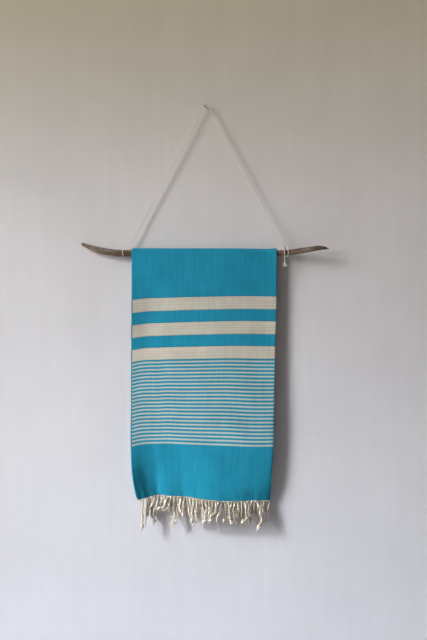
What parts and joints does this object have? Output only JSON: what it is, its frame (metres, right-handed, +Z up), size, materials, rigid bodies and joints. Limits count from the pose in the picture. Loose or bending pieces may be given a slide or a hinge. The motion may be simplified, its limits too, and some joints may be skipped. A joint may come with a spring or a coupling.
{
  "type": "turkish towel with the driftwood stick, string and nail it hangs from",
  "caption": "Striped flat-woven towel with knotted fringes, folded lengthwise and draped over a bowed driftwood stick that hangs from a nail by a thin string.",
  "frame": {"origin": "where the nail enters the wall's face", "axes": "+Z up, +X to the viewer's right along the stick, -Y out of the wall towards the viewer; the wall's face is the plane Y = 0"},
  "size_m": [0.8536, 0.0809, 1.4682],
  "materials": {
    "towel_cloth": "flat-woven cotton, blue with ivory stripes",
    "fringe_yarn": "twisted undyed cotton",
    "driftwood": "bare, weathered, brown and grey",
    "string_cotton": "twisted undyed cotton",
    "nail_metal": "dull grey"
  },
  "bodies": {
    "root": {"towel": "towel_cloth", "fringe-front": "fringe_yarn", "fringe-back": "fringe_yarn", "stick": "driftwood", "string": "string_cotton", "string-knot-free": "string_cotton", "string-knot-tied": "string_cotton", "nail": "nail_metal"}
  },
  "joints": []
}
